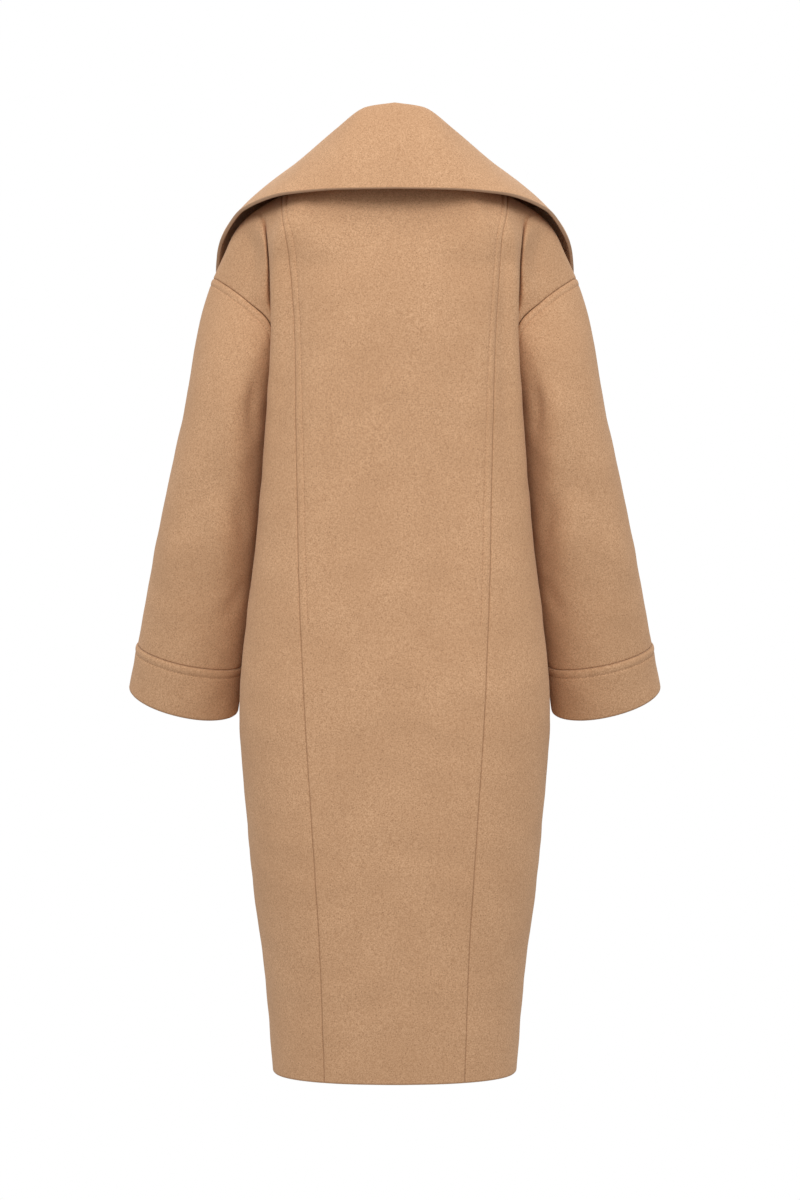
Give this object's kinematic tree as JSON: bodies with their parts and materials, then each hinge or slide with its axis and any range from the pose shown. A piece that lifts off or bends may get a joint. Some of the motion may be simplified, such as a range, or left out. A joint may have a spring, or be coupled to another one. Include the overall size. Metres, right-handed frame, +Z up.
{
  "type": "double-breasted coat",
  "caption": "Long wool coat with a wide shawl collar, dropped shoulders, wide sleeves with turned cuff bands and a double-breasted front, filled out as if worn.",
  "frame": {"origin": "middle of the neck hole, level with the seam at the nape, where the coat hangs round its wearer's neck", "axes": "+Z up the wearer's back, -Y the way the coat's front faces, +X the wearer's left"},
  "size_m": [0.7022, 0.3284, 1.2342],
  "materials": {
    "wool": "camel wool coating with a brushed nap, matt",
    "buttons": "polished dark brown horn-effect resin"
  },
  "bodies": {
    "root": {"back_centre": "wool", "back_side_left": "wool", "back_side_right": "wool", "front_left": "wool", "front_right": "wool", "sleeve_left": "wool", "sleeve_right": "wool", "cuff_left": "wool", "cuff_right": "wool", "shawl_collar": "wool", "button_left_1": "buttons", "button_left_2": "buttons", "button_left_3": "buttons", "button_right_1": "buttons", "button_right_2": "buttons", "button_right_3": "buttons"}
  },
  "joints": []
}
